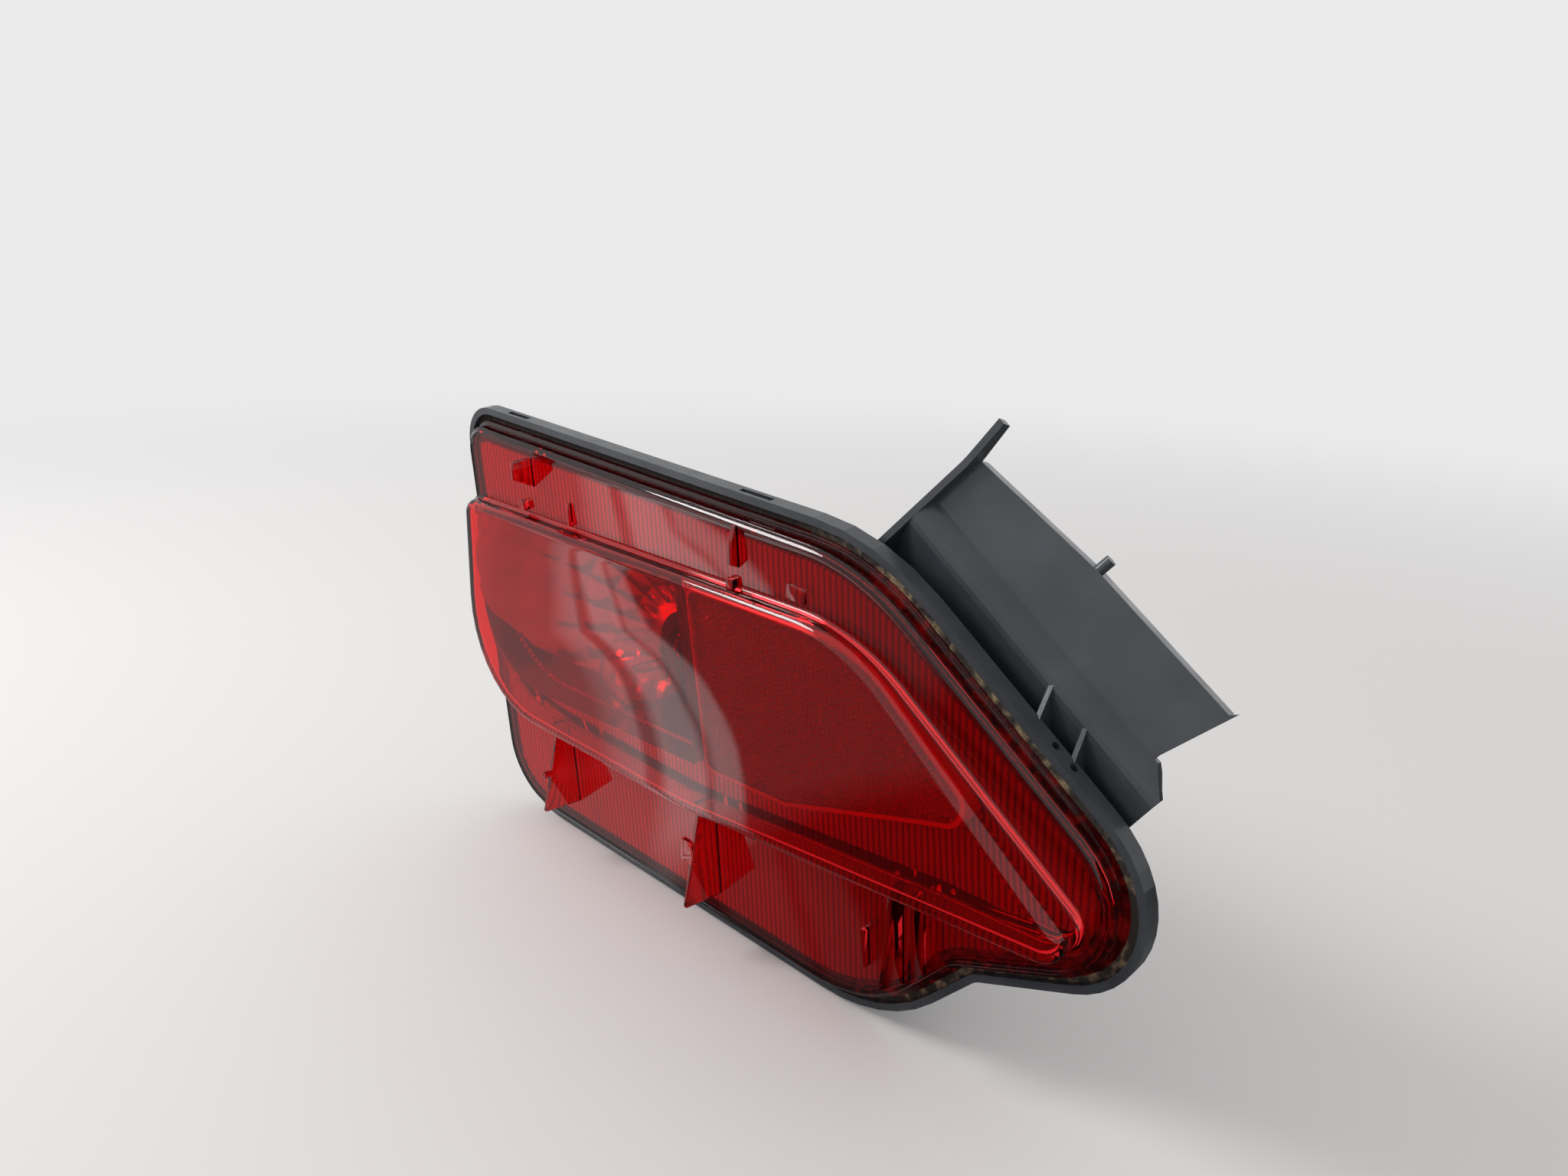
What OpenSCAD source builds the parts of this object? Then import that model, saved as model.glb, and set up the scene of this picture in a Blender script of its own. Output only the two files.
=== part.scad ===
// Rear bumper lamp: red lens with a raised window, grey housing with a side wing,
// reflector chamber with a push-and-turn bulb in a quarter-turn holder, and a reflex panel.
// The lens faces -Y, the car is on the +Y side, +Z is up.
// Outlines are drawn from the top-left corner of the lens; the part's own zero is the
// root of the locating pin on the back of the housing.

/* [Lens] */
// Width of the lens flange, left edge to rounded tip
lens_w = 248; // [220:1:300]
// Height of the lens flange
lens_h = 139; // [122:1:168]
// Thickness of the lens moulding
lens_wall = 2.5; // [2:0.1:3.2]
// Lean of the flange plane from the upright, in degrees
rake = 6; // [0:0.5:8]
// Fall of the top edge towards the tip side
top_fall = 8; // [4:0.5:12]
// Width of the sloping side, shoulder corner to sharp tip
slope_run = 94; // [78:1:108]
// Fall of the sloping side over that width
slope_fall = 71.7; // [58:0.1:82]
// Height of the lower lobe below the tip
lobe_h = 32; // [22:1:40]
// Depth of the lens's side wall behind its flange
skirt_depth = 3.1; // [2.6:0.1:3.4]
// Width of the foot along that wall, which sits in the gutter
skirt_foot = 1.4; // [1:0.1:2]

/* [Raised window] */
// Plain flange above the window
top_strip = 24; // [18:1:30]
// Plain flange beside the sloping side
side_strip = 15.2; // [10:0.2:21]
// Plain flange below the window
bottom_strip = 43.4; // [38:0.2:52]
// How far the window face stands in front of the flange's top edge
window_rise = 2; // [1:0.5:5]
// Rise of the window's bottom edge towards the tip, per millimetre
bottom_slope = 0.096; // [0.04:0.002:0.12]

/* [Locating blades] */
// Thickness of a blade
blade_t = 1.5; // [1:0.1:2.5]
// Depth of the upper blades
upper_blade_d = 7; // [4:0.5:10]
// Depth of the lower blades
lower_blade_d = 14.5; // [8:0.5:18]

/* [Housing] */
// Thickness of the housing walls
wall = 2.2; // [1.8:0.1:2.8]
// Gap between the lens edge and the rim
rim_gap = 3.6; // [3:0.1:4.4]
// Setback of the rim behind the flange face
rim_setback = 4; // [3:0.5:6]
// Depth of the rim wall
rim_depth = 4.4; // [4.2:0.1:6]
// Distance from the flange face to the back of the tray
tray_depth = 20; // [18:0.5:26]
// Depth of the bulb floor behind the top of the lens
floor_depth = 46; // [42:0.5:56]
// Radius of the round can around the bulb
can_r = 30; // [28:0.5:36]

/* [Side wing] */
// Length of the wing along the sloping side
wing_l = 77; // [60:1:84]
// Width of the wing at its upper end
wing_w1 = 20.3; // [15:0.1:24]
// Width of the wing at its lower end
wing_w2 = 27; // [20:0.5:32]
// Lean of the wing towards the car, in degrees
wing_lean = 20; // [10:1:30]
// Thickness of the wing
wing_t = 2.6; // [2:0.1:3.4]
// Distance of the wing's ridge from the lens edge
ridge_out = 9.3; // [8.5:0.1:11]

/* [Reflector and panel] */
// Distance of the chamber divider from the left edge
divider_x = 110; // [104:1:118]
// Thickness of the reflector and inner mouldings
inner_wall = 1.8; // [1.4:0.1:2.2]
// Thickness of the reflex panel
panel_t = 3; // [2:0.5:4]

/* [Bulb and holder] */
// Bulb axis from the left edge of the lens
bulb_x = 70; // [66:1:74]
// Bulb axis above the window's bottom edge
bulb_rise = 19; // [18:0.5:24]
// Radius of the bulb glass
glass_r = 13.2; // [11:0.1:13.4]
// Radius of the bulb cap
cap_r = 7.5; // [6.5:0.1:7.6]
// Thickness of the holder's sealing ring
gasket_t = 2.2; // [1.6:0.1:3]
// Turn that frees the holder, in degrees
holder_turn = 45; // [30:5:50]
// Travel of the bulb against its contact spring
bulb_travel = 1.5; // [1:0.1:1.8]

/* [Mounts] */
// Radius of the locating pin
pin_r = 4; // [3:0.25:5]
// Length of the locating pin
pin_l = 12; // [8:1:16]
// Radius of the screw holes in the rear bosses
boss_hole_r = 2.1; // [1.6:0.1:2.6]
// Depth of those holes
boss_hole_l = 12; // [8:1:14]

/* [Hidden] */

$fn = 64;
far = 400;

// ---------------------------------------------------------------- outlines
// A corner is [x, z, radius]. Corners run clockwise as seen from the front.

function unit(v) = v / norm(v);
function turn(a, b) = a[0] * b[1] - a[1] * b[0];
// Where the line through p along u meets the line through q along v
function meet(p, u, q, v) = p + u * turn(q - p, v) / turn(u, v);
function xz(c) = [c[0], c[1]];

// Moves every side of an outline outwards by d and keeps its arcs parallel
function grown(c, d) = [for (i = [0 : len(c) - 1]) let (
    n = len(c),
    here = xz(c[i]),
    u = unit(here - xz(c[(i + n - 1) % n])),
    v = unit(xz(c[(i + 1) % n]) - here),
    out_u = [-u[1], u[0]],
    out_v = [-v[1], v[0]],
    s = turn(u, v) < 0 ? 1 : -1,
    p = meet(here + out_u * d, u, here + out_v * d, v)
) [p[0], p[1], max(c[i][2] + s * d, 0.3)]];

// The outline's points, with each corner's arc stepped by about 9 degrees
function rounded(c) = [for (i = [0 : len(c) - 1]) let (
    n = len(c),
    here = xz(c[i]),
    u = unit(here - xz(c[(i + n - 1) % n])),
    v = unit(xz(c[(i + 1) % n]) - here),
    side = turn(u, v) < 0 ? -1 : 1,
    bend = acos(min(1, max(-1, u * v))),
    r = c[i][2],
    cut = r * tan(bend / 2),
    start = here - u * cut,
    centre = start + [-u[1], u[0]] * side * r,
    steps = max(2, ceil(bend / 9))
) for (k = [0 : steps]) let (
    a = side * bend * k / steps,
    arm = start - centre
) centre + [arm[0] * cos(a) - arm[1] * sin(a), arm[0] * sin(a) + arm[1] * cos(a)]];

// A flat plate of the outline, from depth y0 to y1
module slab(c, y0, y1) {
    translate([0, y1, 0])
        rotate([90, 0, 0])
            linear_extrude(y1 - y0)
                polygon(rounded(c));
}

// A wall that follows the outline, from inset d_in to d_out
module ring(c, d_in, d_out, y0, y1) {
    difference() {
        slab(grown(c, d_out), y0, y1);
        slab(grown(c, d_in), y0 - 1, y1 + 1);
    }
}

// Tilts what is drawn upright onto the flange plane
module raked() {
    rotate([rake, 0, 0]) children();
}

function flange_y(z) = -z * tan(rake);

// ---------------------------------------------------------------- driving places
slope_dir = unit([slope_run, -slope_fall]);
slope_angle = atan(slope_fall / slope_run);
inward = [slope_dir[1], -slope_dir[0]];
tip_r = 23;
sharp_x = lens_w + tip_r * (1 / sin(30) - 1);
top_start = 1.5;
shoulder = [sharp_x - slope_run, top_start - top_fall];
sharp_tip = shoulder + [slope_run, -slope_fall];
lobe_top = [sharp_tip[0] - 64, -lens_h + lobe_h];
lobe_foot = [lobe_top[0] - lobe_h * 0.92, -lens_h];

// The lens flange
flange = [
    [0, top_start, 9],
    [shoulder[0], shoulder[1], 60],
    [sharp_tip[0], sharp_tip[1], tip_r],
    [lobe_top[0], lobe_top[1], 12],
    [lobe_foot[0], lobe_foot[1], 50],
    [0, -lens_h, 22],
];

// The raised window
win_top = -top_strip;
win_foot = -lens_h + bottom_strip;
win_bend = [lens_w * 0.464, win_foot - 0.2];
win_side = shoulder + inward * side_strip;
win_shoulder = meet([0, win_top], [1, 0], win_side, slope_dir);
win_tip = meet(win_bend, [1, bottom_slope], win_side, slope_dir);
window = [
    [-1, win_top, 5],
    [win_shoulder[0], win_shoulder[1], 54],
    [win_tip[0], win_tip[1], 6],
    [win_bend[0], win_bend[1], 150],
    [0, win_foot, 38],
];

// The reflector chamber is the window's left part, up to a leaning divider
divider_lean = 12;
cell_foot = win_foot + 6.6;
cell_floor = [1, 0.042];
function foot_at(x) = cell_foot + cell_floor[1] * x;
chamber = [
    [-1, win_top, 5],
    [divider_x, win_top, 4],
    [divider_x + divider_lean, foot_at(divider_x + divider_lean), 4],
    [0, cell_foot, 38],
];

bulb_z = cell_foot + bulb_rise;

// Depths behind the flange face, measured across the raked plane
bezel_front = lens_wall + 1.5;
bezel_back = bezel_front + inner_wall;
gutter_floor = rim_setback + rim_depth - wall;
gutter_in = 7;
skirt_foot_t = 1.6;
skirt_t = 2.2;
skirt_back = lens_wall + skirt_depth;

// Depths along Y
can_front = floor_depth - 9;
floor_t = 3;
mirror_back = floor_depth - 8;
mirror_front = 3;
mirror_focus = 30;
mirror_hole = 18;

// The locating pin stands on a boss behind the tray
pin_at = [150, -60];
pin_root = flange_y(pin_at[1]) + tray_depth / cos(rake) + 2;

// Carries the drawing's top-left corner to its place beside the locating pin
module from_corner() {
    translate([-pin_at[0], -pin_root, -pin_at[1]]) children();
}

// Everything deeper than d behind the raked flange face
module behind(d) {
    raked() translate([-far / 2, d, -far]) cube([2 * far, far, 2 * far]);
}

// A round bar along Y at [x, z]
module bar(at, r, y0, y1) {
    translate([at[0], y1, at[1]]) rotate([90, 0, 0]) cylinder(h = y1 - y0, r = r);
}

module tube(at, r_in, r_out, y0, y1) {
    difference() {
        bar(at, r_out, y0, y1);
        bar(at, r_in, y0 - 1, y1 + 1);
    }
}

// A solid of revolution about Y at [x, z]; its profile is [radius, depth]
module turned(at, profile) {
    translate([at[0], 0, at[1]]) rotate([-90, 0, 0]) rotate_extrude() polygon(profile);
}

// A thin plate that stands across X, from a profile of [y, z]
module fin(x, t, profile) {
    translate([x - t / 2, 0, 0]) rotate([90, 0, 90]) linear_extrude(t) polygon(profile);
}

// ---------------------------------------------------------------- lens
// One blade: x, base top and foot, front top and foot, each as [y, z]
root = 1;
function on_flange(z) = [flange_y(z) + root, z];
under_window = win_foot + 1.2;
blades = [
    [38, [on_flange(-14), on_flange(-4), [0.6 - upper_blade_d, -5], [0.6 - upper_blade_d, -10.5]]],
    [134, [on_flange(-18), on_flange(-6), [-0.2, -6], [-1.4, -10], [-1.4, -16.5]]],
    [43, [on_flange(-lens_h + 13), on_flange(under_window), [4.8, under_window],
        [flange_y(-lens_h + 13) + 0.3 - lower_blade_d, -lens_h + 13.5]]],
    [117, [on_flange(-lens_h + 11), on_flange(under_window), [4.1, under_window],
        [flange_y(-lens_h + 11) + 0.3 - lower_blade_d, -lens_h + 11.5]]],
    [190, [on_flange(-lens_h + 18), on_flange(-90), [5, -92], [3.7, -lens_h + 20.6]]],
    [197, [on_flange(-lens_h + 25), on_flange(-89), [5.1, -90.5], [6.2, -lens_h + 25.5]]],
    [178, [on_flange(-lens_h + 18), on_flange(-109), [9.1, -109], [10.1, -lens_h + 18]]],
];

// Small stops moulded on the strip: x and z from and to, and how far they stand out
stops = [
    [31, -22, 34, -19, 2],
    [57, -22.5, 58.2, -15, 1.6],
    [130.6, -24, 133.4, -21, 2],
    [152, -21.7, 159, -17.4, 0.6],
];

module lens_blades() {
    for (b = blades) fin(b[0], blade_t, b[1]);
    for (s = stops)
        translate([s[0], flange_y(s[1]) - s[4], s[1]])
            cube([s[2] - s[0], s[4] + 1, s[3] - s[1]]);
    // a tab on the side of the middle lower blade, and a nub on the front of the left one
    translate([112, 1.6, -lens_h + 25]) cube([5.2, 1.6, 7]);
    translate([42.2, -1, -lens_h + 26]) cube([1.6, 5, 2]);
    // a slanting fin beside the tip
    fin_at = shoulder + slope_dir * 63.5 + inward * 15.7;
    raked()
        translate([fin_at[0], -1.6, fin_at[1]])
            rotate([0, -atan(12 / 10), 0])
                cube([15.6, 2.6, 1.4]);
}

module outer_lens() {
    color("darkred") from_corner() {
        difference() {
            union() {
                raked() slab(flange, 0, lens_wall);
                difference() {
                    slab(window, -window_rise, far / 10);
                    behind(lens_wall);
                }
            }
            difference() {
                slab(grown(window, -lens_wall), lens_wall - window_rise, far / 8);
                behind(lens_wall + 0.01);
            }
        }
        raked() {
            ring(flange, -skirt_t, 0, lens_wall / 2, skirt_back);
            ring(flange, -skirt_t, skirt_foot, skirt_back - skirt_foot_t, skirt_back);
        }
        lens_blades();
    }
}

// ---------------------------------------------------------------- housing
chamber_box = [
    [5, win_top + 1, 6],
    [divider_x + 3, win_top + 1, 6],
    [divider_x + divider_lean + 3, foot_at(divider_x + divider_lean) - 1, 6],
    [5, cell_foot - 1, 36],
];
bulb_at = [bulb_x, bulb_z];
holder_hole_r = glass_r + 1.4;
lug_r = holder_hole_r + 3;
lug_t = 2.6;
bosses = [
    [26, -lens_h + 26],
    [lobe_foot[0] - 10, -lens_h + 26],
    [sharp_tip[0] - 63, sharp_tip[1] + 28.2],
];
boss_end = floor_depth;
boss_r = boss_hole_r + 3.2;

module gutter() {
    rim_back = rim_setback + rim_depth;
    raked() {
        ring(flange, rim_gap, rim_gap + wall, rim_setback, rim_back);
        ring(flange, -gutter_in, rim_gap + wall, gutter_floor, rim_back);
        ring(flange, -gutter_in, -gutter_in + wall, bezel_back, tray_depth);
    }
}

module tray_floor() {
    difference() {
        raked() slab(grown(flange, -gutter_in + wall), tray_depth - wall, tray_depth);
        slab(grown(chamber_box, -wall), 0, floor_depth);
        bar(vent_at, spigot_bore, 0, far / 8);
    }
}

module chamber_shell() {
    difference() {
        union() {
            slab(chamber_box, 10, can_front + wall);
            bar(bulb_at, can_r, 10, floor_depth);
        }
        slab(grown(chamber_box, -wall), 0, can_front);
        bar(bulb_at, can_r - wall, 0, floor_depth - floor_t);
        bar(bulb_at, holder_hole_r, 0, floor_depth + 1);
        lug_slots(holder_turn);
        difference() {
            translate([-far / 2, -far, -far]) cube([2 * far, 2 * far, 2 * far]);
            behind(tray_depth - wall);
        }
    }
}

// The three ways through the floor for the holder's lugs, open once it is turned
lug_w = 11;
module lug_slots(angle) {
    for (k = [0 : 2])
        translate([bulb_at[0], 0, bulb_at[1]])
            rotate([0, angle + 120 * k, 0])
                translate([0, floor_depth - floor_t - 1, -lug_w / 2 - 0.5])
                    cube([lug_r + 0.6, floor_t + 2, lug_w + 1]);
}

// Screw bosses that end in one plane, each with a blind hole from behind
module rear_bosses() {
    for (b = bosses)
        difference() {
            bar(b, boss_r, 10, boss_end);
            bar(b, boss_hole_r, boss_end - boss_hole_l, boss_end + 1);
            difference() {
                translate([-far / 2, -far, -far]) cube([2 * far, 2 * far, 2 * far]);
                behind(tray_depth - wall / 2);
            }
        }
}

// The pin that sets the lamp's place in the bumper, on its own boss
module locating_pin() {
    bar(pin_at, pin_r + 3, pin_root - 4, pin_root);
    bar(pin_at, pin_r, pin_root - 1, pin_root + pin_l);
}

// Breather spigot on the back of the tray
vent_at = [shoulder[0] - 12, win_top - 6];
vent_root = flange_y(vent_at[1]) + tray_depth / cos(rake) + 1;
spigot_r = 4;
spigot_bore = 2.4;
spigot_l = 8;
module breather_spigot() {
    tube(vent_at, spigot_bore, spigot_r, vent_root - 2.6, vent_root + spigot_l);
}

// Posts inside the tray that the reflector and the bezel are screwed to
post_r = 3.6;
screw_r = 1.5;
ear_back = tray_depth - wall - 4;
reflector_posts = [
    [bulb_at[0], win_top + 9],
    [divider_x + 16, bulb_z + 12],
    [bulb_at[0] + 30, cell_foot - 10],
];
module posts() {
    for (p = reflector_posts)
        raked()
            difference() {
                bar(p, post_r, ear_back, tray_depth - wall / 2);
                bar(p, screw_r, ear_back - 1, tray_depth - wall / 2 + 1);
            }
}

// Moves to the line of the wing's ridge where the sloping side begins:
// x runs down the slope, z points straight out from it
module at_slope() {
    translate([shoulder[0] - inward[0] * ridge_out, 0, shoulder[1] - inward[1] * ridge_out])
        rotate([0, slope_angle, 0])
            children();
}

// Wing plane, leaning towards the car as it goes out
wing_root = tray_depth - 2;
module in_wing() {
    at_slope() translate([0, wing_root, 0]) rotate([-wing_lean, 0, 0]) children();
}

// The far edge bends a little, so it is drawn through three points
wing_start = -3.2;
lip_w = 1.8;
far_edge = [
    [wing_start, wing_w1],
    [wing_l * 0.45, wing_w1 + (wing_w2 - wing_w1) * 0.7],
    [wing_l - 1, wing_w2],
];

// Section of the rounded ridge and of the web that runs back from it to the body,
// as [depth, distance out]
ridge_section = [
    [wing_t, 5.2], [0, 5.2], [-1.2, 3.9], [-2.2, 2.5], [-2.8, 1.2], [-3.05, -0.1],
    [-2.95, -1.4], [-2.6, -2.7], [-2, -3.8], [-0.8, -5.8], [7, -18.7], [8.8, -17.6],
    [0.9, -4.2], [-0.3, -2], [-0.4, 0.2], [0.4, 2], [wing_t, 4],
];
ridge_lean = 2;
ridge_end = wing_l + 5;
ridge_cut = 31.5;

module wing_plate() {
    translate([0, wing_t, 0])
        rotate([90, 0, 0])
            linear_extrude(wing_t)
                polygon(concat(
                    [[wing_start, 4.5]], far_edge,
                    [[wing_l, wing_w2 + 1.4], [wing_l - 3, 9.6], [wing_l - 3, 4.5]]
                ));
    // the return lip along the far edge
    translate([0, wing_t + 3, 0])
        rotate([90, 0, 0])
            linear_extrude(3.4)
                polygon(concat(far_edge, [for (k = [2 : -1 : 0]) far_edge[k] - [0, lip_w]]));
    // the peg on that edge
    translate([wing_l * 0.45, wing_t - 1.2, far_edge[1][1] - 3])
        cylinder(h = 6.6, r = 1.4);
}

module wing_ridge() {
    difference() {
        translate([0, 0, 1])
            rotate([0, -ridge_lean, 0])
                fin((wing_start + ridge_end) / 2, ridge_end - wing_start, ridge_section);
        translate([wing_l - 3, -10, 9.6])
            rotate([0, ridge_cut, 0])
                cube([30, 30, 30]);
    }
}

// The rib that closes the wing's upper end and runs on as a tongue, as [depth, distance out]
rib_t = 1.8;
rib_section = [
    [10.6, -11], [21.2, wing_w1 - 3], [21.6, wing_w1 - 0.6], [22.4, wing_w1 + 11.2],
    [25.9, wing_w1 + 10], [26.5, wing_w1], [26.6, wing_w1 - 2], [23, -2], [19.8, -18], [15, -18],
];

// Two thin gussets from the rim to the ridge
gussets = [53, 65];
module gusset(u) {
    foot = shoulder + slope_dir * u - inward * (rim_gap + wall);
    fin(foot[0], 1.2, [
        [flange_y(foot[1]) + rim_setback + 2.6, foot[1] - 1.5], [wing_root - 1.9, foot[1] + 8],
        [wing_root + 0.6, foot[1] + 8], [wing_root + 1.8, foot[1] - 8], [wing_root - 4, foot[1] - 8],
    ]);
}

// Everything the wing must leave free: the gutter, and the inside of the body
module wing_clearance() {
    raked() {
        slab(grown(flange, rim_gap + wall / 2), -far / 8, gutter_floor + wall / 2);
        slab(grown(flange, -gutter_in + wall / 2), -far / 8, far / 4);
    }
}

module wing() {
    difference() {
        union() {
            in_wing() {
                wing_plate();
                wing_ridge();
            }
            at_slope() fin(wing_start - rib_t / 2, rib_t, rib_section);
            for (u = gussets) gusset(u);
        }
        wing_clearance();
    }
}

// Windows in the top of the rim and two small drain holes in its sloping side
rim_slots = [[19, 11], [130, 12]];
drains = [60, 66];
drain_r = 1;
slot_depth = 1.8;
module rim_openings() {
    raked()
        for (s = rim_slots) {
            edge_z = top_start - top_fall * (s[0] + s[1]) / shoulder[0];
            translate([s[0], rim_setback + 1.2, edge_z + rim_gap])
                cube([s[1], slot_depth, 20]);
        }
    at_slope()
        for (u = drains) {
            edge_z = shoulder[1] + slope_dir[1] * u;
            translate([u, rim_setback + 2.2 + flange_y(edge_z), rim_gap - ridge_out - 0.8])
                cylinder(h = wall + 1.6, r = drain_r);
        }
}

module housing() {
    color("slategray") from_corner() {
        difference() {
            gutter();
            rim_openings();
        }
        tray_floor();
        chamber_shell();
        rear_bosses();
        locating_pin();
        breather_spigot();
        posts();
        wing();
    }
}

// Sealant in the gutter under the lens's foot, risen beside it along the sloping side
sealant_rise = 1;
module lens_sealant() {
    color("tan") from_corner() raked() {
        ring(flange, -gutter_in + wall, rim_gap, skirt_back, gutter_floor);
        intersection() {
            ring(flange, skirt_foot, rim_gap, skirt_back - sealant_rise, gutter_floor);
            translate([shoulder[0] - 20, 0, sharp_tip[1] - 8]) cube([far, far, far]);
        }
    }
}

// ---------------------------------------------------------------- inside the lamp
function mirror_y(r) =
    max(mirror_front, mirror_back - (r * r - mirror_hole * mirror_hole) / (4 * mirror_focus));
mirror_reach = 120;
mirror_steps = 34;
mirror_outline = grown(chamber, -lens_wall - 0.8);

// The space in front of the mirror, or of its back when t is the wall
module mirror_space(t) {
    turned(bulb_at, concat(
        [[0, -40], [0, mirror_back + t]],
        [for (k = [0 : mirror_steps]) let (r = mirror_hole + (mirror_reach - mirror_hole) * k / mirror_steps)
            [r, mirror_y(r) + t]],
        [[mirror_reach, -40]]
    ));
}

// Ears on the reflector's outside that sit on the housing's posts
ear_t = 2.2;
ear_front = ear_back - ear_t;
screw_head_r = 3;
ear_reach = 40;
screw_l = 3.6;
module reflector_ear(p) {
    to_bulb = unit(bulb_at - p);
    raked()
        difference() {
            union() {
                bar(p, post_r, ear_front, ear_back);
                translate([p[0], ear_front, p[1]])
                    rotate([0, -atan2(to_bulb[1], to_bulb[0]), 0])
                        translate([0, 0, -post_r]) cube([ear_reach, ear_t, 2 * post_r]);
            }
            bar(p, screw_r + 0.2, ear_front - 1, ear_back + 1);
        }
}

module reflector() {
    color("silver") from_corner() {
        difference() {
            union() {
                intersection() {
                    slab(mirror_outline, mirror_front, far / 4);
                    mirror_space(inner_wall);
                }
                for (p = reflector_posts) reflector_ear(p);
            }
            intersection() {
                slab(grown(mirror_outline, -inner_wall), -far / 4, far / 4);
                mirror_space(0);
            }
            bar(bulb_at, mirror_hole, 0, far / 4);
        }
    }
}

module reflector_screws() {
    color("gainsboro") from_corner()
        for (p = reflector_posts)
            raked() {
                bar(p, screw_head_r, ear_front - 2, ear_front);
                bar(p, screw_r - 0.05, ear_front, ear_back + screw_l);
            }
}

// The reflex panel fills the window's right part above a rising line
panel_inset = 5;
panel_rise = 0.294;
panel_side = win_side + inward * panel_inset;
panel_foot = [0, cell_foot + 4.3];
panel_turn = meet(panel_foot, cell_floor, [138, cell_foot + 6], [1, panel_rise]);
panel_left = meet(panel_foot, cell_floor, [divider_x + 3, win_top], [divider_lean, cell_foot - win_top]);
panel_shoulder = meet([0, win_top - panel_inset], [1, 0], panel_side, slope_dir);
panel_tip = meet(panel_turn, [1, panel_rise], panel_side, slope_dir);
panel = [
    [divider_x + 3, win_top - panel_inset, 3],
    [panel_shoulder[0], panel_shoulder[1], 45],
    [panel_tip[0], panel_tip[1], 4],
    [panel_turn[0], panel_turn[1], 3],
    [panel_left[0], panel_left[1], 3],
];
panel_front = lens_wall - window_rise + 2.5;
panel_back = panel_front + panel_t;
backing_back = panel_back + 3.5;
backing_edge = 1.5;
legs = [
    [divider_x + 24, bulb_z + 22],
    [divider_x + 30, bulb_z + 2],
    [panel_shoulder[0] + 8, panel_shoulder[1] - 20],
];

module reflex_panel() {
    color("crimson") from_corner() slab(panel, panel_front, panel_back);
}

module reflex_backing() {
    color("whitesmoke") from_corner() {
        ring(panel, 0.1, backing_edge, panel_front + 0.6, backing_back);
        slab(grown(panel, backing_edge), backing_back - 1.5, backing_back);
        difference() {
            for (p = legs) bar(p, 2.5, backing_back - 1, far / 8);
            behind(tray_depth - wall);
        }
    }
}

module fluted_bezel() {
    color("firebrick") from_corner()
        difference() {
            raked() slab(grown(flange, -gutter_in + wall - 0.3), bezel_front, bezel_back);
            slab(grown(mirror_outline, 0.5), -far / 4, far / 4);
            slab(grown(panel, backing_edge + 0.5), -far / 4, far / 4);
        }
}

// ---------------------------------------------------------------- bulb
glass_tip = floor_depth - 39;
glass_foot = floor_depth - 5;
glass_t = 0.8;
neck_r = cap_r - 0.5;
cap_front = floor_depth - 7.5;
cap_back = cap_front + 17.5;
pin_y = cap_front + 12;
filament_y = pin_y - 31.8;

// Half section of the envelope, t inside its outer face
function glass_section(t) = let (r = glass_r - t, c = glass_tip + glass_r, n = neck_r - t) concat(
    [for (a = [-90 : 9 : 0]) [r * cos(a), c + r * sin(a)]],
    [for (k = [1 : 8]) [n + (r - n) * (1 + cos(180 * k / 8)) / 2, c + (cap_front - c) * k / 8]],
    [[n, glass_foot - t], [0, glass_foot - t]]
);

module bulb_glass() {
    color("lightcyan", 0.5) from_corner()
        difference() {
            turned(bulb_at, glass_section(0));
            turned(bulb_at, glass_section(glass_t));
        }
}

module bulb_stem() {
    color("azure") from_corner() bar(bulb_at, 2.6, glass_foot - 9, glass_foot - glass_t);
}

lead_gap = 3;
module bulb_leads() {
    color("dimgray") from_corner()
        for (s = [-1, 1])
            bar(bulb_at + [s * lead_gap, 0], 0.35, filament_y - 0.6, glass_foot - glass_t);
}

module bulb_filament() {
    color("gray") from_corner()
        translate([bulb_at[0] - lead_gap + 0.35, filament_y, bulb_at[1]])
            rotate([0, 90, 0]) cylinder(h = 2 * lead_gap - 0.7, r = 0.55);
}

module bulb_cap() {
    color("gold") from_corner() tube(bulb_at, neck_r, cap_r, cap_front, cap_back - 1);
}

module bulb_insulator() {
    color("black") from_corner() bar(bulb_at, neck_r, cap_back - 3, cap_back);
}

module bulb_contact() {
    color("lightgray") from_corner() bar(bulb_at, 2.1, cap_back, cap_back + 1.2);
}

bayonet_r = 1;
module bulb_pins() {
    color("goldenrod") from_corner()
        for (s = [0, 180])
            translate([bulb_at[0], pin_y, bulb_at[1]])
                rotate([0, s, 0])
                    translate([cap_r, 0, 0]) rotate([0, 90, 0]) cylinder(h = 1.4, r = bayonet_r);
}

// ---------------------------------------------------------------- holder
lug_front = floor_depth - floor_t - 0.2 - lug_t;
flange_front = floor_depth + gasket_t;
flange_back = flange_front + 2.5;
shell_r = cap_r + 0.08;
shell_t = 0.6;
shell_front = cap_front + 5;
shell_back = pin_y + 8.5;
cup_r = holder_hole_r - 2.6;
contact_front = cap_back + 1.2;
spring_seat = contact_front + 7.5;
holder_back = spring_seat + 2;
plug_l = 16;
plug_w = 26;
plug_h = 17;
plug_wall = 2;
blade_gap = 4;
terminal_w = 2.8;
terminal_t = 0.8;

function plug_outline(d) = [
    [bulb_at[0] - plug_w / 2 + d, bulb_at[1] + plug_h / 2 - d, 3],
    [bulb_at[0] + plug_w / 2 - d, bulb_at[1] + plug_h / 2 - d, 3],
    [bulb_at[0] + plug_w / 2 - d, bulb_at[1] - plug_h / 2 + d, 3],
    [bulb_at[0] - plug_w / 2 + d, bulb_at[1] - plug_h / 2 + d, 3],
];

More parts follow.
